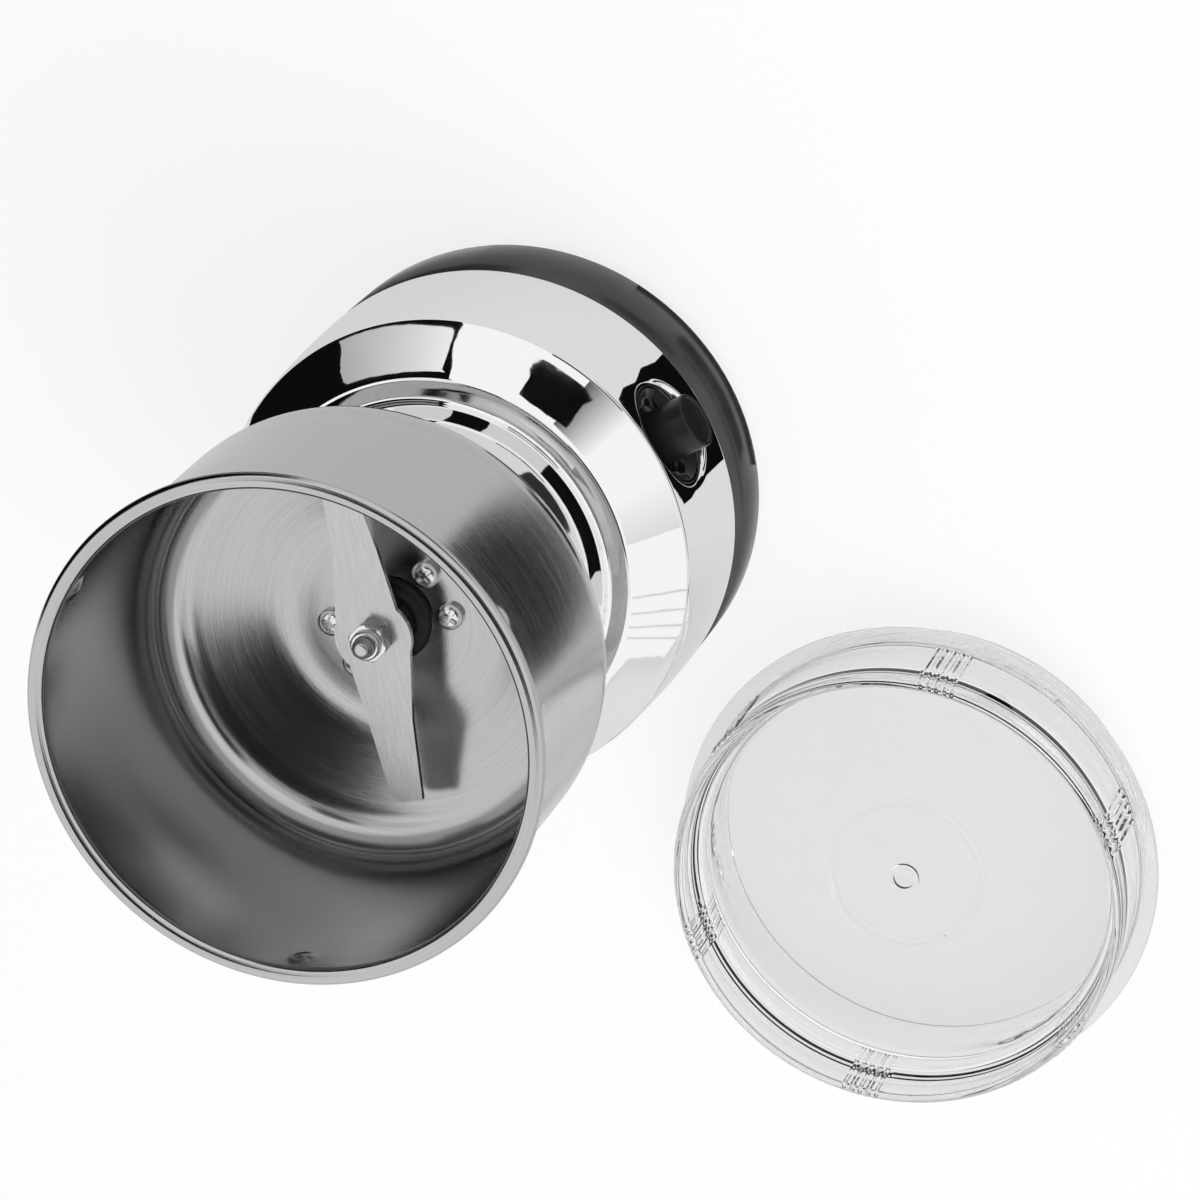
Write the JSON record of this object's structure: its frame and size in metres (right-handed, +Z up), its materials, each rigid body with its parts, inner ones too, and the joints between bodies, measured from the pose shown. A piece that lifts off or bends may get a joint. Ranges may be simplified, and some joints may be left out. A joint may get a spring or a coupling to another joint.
{
  "type": "electric spice grinder",
  "caption": "Electric spice grinder: chromed housing with a flared waist, open steel cup with a spinning blade, side push button, and a clear lid lying beside it.",
  "frame": {"origin": "On the plane that the rubber feet stand on, at the motor's axis.", "axes": "+Z up along the motor's axis, -Y towards the push button, +Y towards the mains inlet; the lid lies on the floor at -X."},
  "size_m": [0.2076, 0.1389, 0.1525],
  "materials": {
    "base_plastic": "satin",
    "black_gloss": "gloss",
    "blade_steel": "ground stainless",
    "button_black": "semi gloss",
    "capacitor_plastic": "potted",
    "carbon": "pressed carbon",
    "cast_aluminium": "as cast",
    "chromed_plastic": "mirror chrome plating",
    "clear_plastic": "clear moulded plastic",
    "cup_steel": "brushed",
    "fan_plastic": "natural nylon",
    "gland_rubber": "matt",
    "lamination_steel": "varnished laminations",
    "plated_screws": "bright plated",
    "rubber_feet": "matt",
    "rubber_seal": "matt",
    "seal_black": "moulded",
    "shaft_steel": "ground",
    "sintered_bronze": "oiled",
    "spring_steel": "drawn wire",
    "switch_plastic": "moulded",
    "tab_brass": "plain",
    "winding_copper": "enamelled copper wire",
    "zinc_screws": "zinc plated"
  },
  "bodies": {
    "housing": {"housing_shell": "chromed_plastic", "cup": "cup_steel", "cup_gasket": "rubber_seal", "cup_screws": "plated_screws", "base_cover": "base_plastic", "base_screws": "zinc_screws", "feet": "rubber_feet", "cord_gland": "gland_rubber", "button_bezel": "black_gloss", "switch_body": "switch_plastic", "switch_terminals": "tab_brass", "top_bracket": "cast_aluminium", "bottom_bracket": "cast_aluminium", "motor_screws": "zinc_screws", "top_bearing": "sintered_bronze", "bottom_bearing": "sintered_bronze", "stator_core": "lamination_steel", "field_coils": "winding_copper", "shaft_seal": "seal_black", "brush_holders": "tab_brass", "carbon_brushes": "carbon", "brush_springs": "spring_steel", "brush_caps": "switch_plastic", "terminal_block": "switch_plastic", "suppressor_capacitor": "capacitor_plastic", "thermal_fuse": "shaft_steel"},
    "rotor": {"motor_shaft": "shaft_steel", "armature_core": "lamination_steel", "armature_windings": "winding_copper", "commutator": "tab_brass", "cooling_fan": "fan_plastic", "thrust_washers": "fan_plastic", "blade_spacer": "shaft_steel", "blade": "blade_steel", "blade_nut": "plated_screws"},
    "button": {"button_cap": "button_black", "switch_plunger": "switch_plastic", "button_spring": "spring_steel"},
    "lid": {"lid": "clear_plastic"}
  },
  "joints": [
    {"name": "blade_spin", "type": "hinge", "parent": "housing", "child": "rotor", "pos_m": [0, 0, 0.06], "axis": [0, 0, 1], "continuous": true},
    {"name": "button_press", "type": "slide", "parent": "housing", "child": "button", "axis": [0, 1, 0], "range_m": [0, 0.003], "stiffness_N_per_m": 400, "springref_m": -0.002, "deforming": ["button_spring"]},
    {"name": "lid_lift", "type": "slide", "parent": "housing", "child": "lid", "axis": [0, 0, 1], "range_m": [0, 0.2]}
  ]
}
